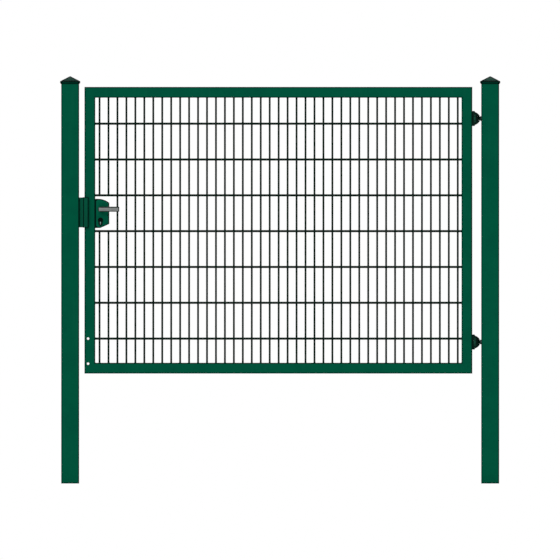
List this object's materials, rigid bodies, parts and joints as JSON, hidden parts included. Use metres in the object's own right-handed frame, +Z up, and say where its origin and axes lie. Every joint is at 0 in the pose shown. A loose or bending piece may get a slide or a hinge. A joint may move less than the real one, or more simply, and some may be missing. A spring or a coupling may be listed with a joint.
{
  "type": "tubular frame gate",
  "caption": "Garden gate with a tubular frame, welded wire mesh infill, lever lock and pin hinges, hung between square posts with pyramid caps.",
  "frame": {"origin": "centre of the hinge post's foot", "axes": "+X from the latch post towards the hinge post, +Y from the gate's front to its back, +Z up"},
  "size_m": [2.4576, 0.124, 2.274],
  "materials": {
    "green_powder_coat": "satin powder coat",
    "dark_green_wire": "satin powder coat",
    "dark_green_cap": "satin powder coat",
    "black_hinge": "satin powder coat",
    "zinc_steel": "zinc plated",
    "bright_steel": "brushed stainless",
    "nickel_cylinder": "satin nickel",
    "black_trim": "matt black",
    "grey_lever": "satin anodised grey",
    "black_rubber": "matt"
  },
  "bodies": {
    "posts": {"latch_post": "green_powder_coat", "hinge_post": "green_powder_coat", "latch_post_cap": "dark_green_cap", "hinge_post_cap": "dark_green_cap", "keep_body": "green_powder_coat", "keep_strike": "bright_steel", "keep_upper_buffer": "black_rubber", "keep_lower_buffer": "black_rubber", "upper_hinge_eyebolt": "black_hinge", "lower_hinge_eyebolt": "black_hinge", "upper_hinge_nut": "black_hinge", "lower_hinge_nut": "black_hinge", "upper_hinge_insert": "zinc_steel", "lower_hinge_insert": "zinc_steel"},
    "leaf": {"latch_stile": "green_powder_coat", "hinge_stile": "green_powder_coat", "top_rail": "green_powder_coat", "bottom_rail": "green_powder_coat", "mesh_latch_half": "dark_green_wire", "mesh_hinge_half": "dark_green_wire", "upper_hinge_bracket": "black_hinge", "lower_hinge_bracket": "black_hinge", "upper_hinge_pin": "zinc_steel", "lower_hinge_pin": "zinc_steel", "lock_case": "green_powder_coat", "lock_front_cover": "green_powder_coat", "lock_rear_cover": "green_powder_coat", "lock_face_plate": "bright_steel", "dead_bolt": "bright_steel", "lock_cylinder": "nickel_cylinder", "front_key_plug": "black_trim", "rear_key_plug": "black_trim", "front_escutcheon": "black_trim", "rear_escutcheon": "black_trim", "front_lever_rose": "grey_lever", "rear_lever_rose": "grey_lever"},
    "handle": {"lever_spindle": "zinc_steel", "front_lever": "grey_lever", "rear_lever": "grey_lever"},
    "latch": {"latch_bolt": "bright_steel"}
  },
  "joints": [
    {"name": "leaf_swing", "type": "hinge", "parent": "posts", "child": "leaf", "pos_m": [-0.076, 0, 1.414], "axis": [0, 0, -1], "range_deg": [0, 90]},
    {"name": "handle_turn", "type": "hinge", "parent": "leaf", "child": "handle", "pos_m": [-2.176, 0, 1.5315], "axis": [0, 1, 0], "range_deg": [0, 40], "stiffness_Nm_per_rad": 2, "springref_deg": -17.19},
    {"name": "latch_slide", "type": "slide", "parent": "leaf", "child": "latch", "axis": [1, 0, 0], "range_m": [0, 0.012]}
  ],
  "couplings": [
    {"joint": "latch_slide", "follows": "handle_turn", "m_per_rad": 0.017}
  ]
}
